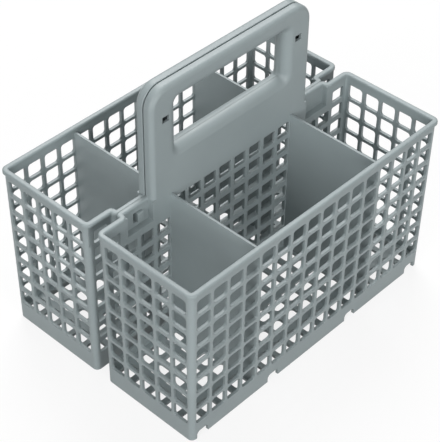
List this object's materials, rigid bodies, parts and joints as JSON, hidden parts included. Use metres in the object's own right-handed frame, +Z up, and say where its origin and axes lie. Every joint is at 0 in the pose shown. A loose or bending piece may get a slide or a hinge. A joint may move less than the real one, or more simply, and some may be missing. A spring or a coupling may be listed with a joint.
{
  "type": "dishwasher cutlery basket",
  "caption": "Rectangular lattice cutlery basket of two clipped halves, each with open compartments side by side, and a tall carrying handle with a finger window.",
  "frame": {"origin": "middle of the basket's footprint, at the height of the feet", "axes": "+X along the basket, +Y across it from the front half to the rear half, +Z up through the handle"},
  "size_m": [0.2424, 0.1744, 0.214],
  "materials": {
    "basket": "satin"
  },
  "bodies": {
    "root": {"front_half_basket": "basket", "rear_half_basket": "basket"}
  },
  "joints": []
}
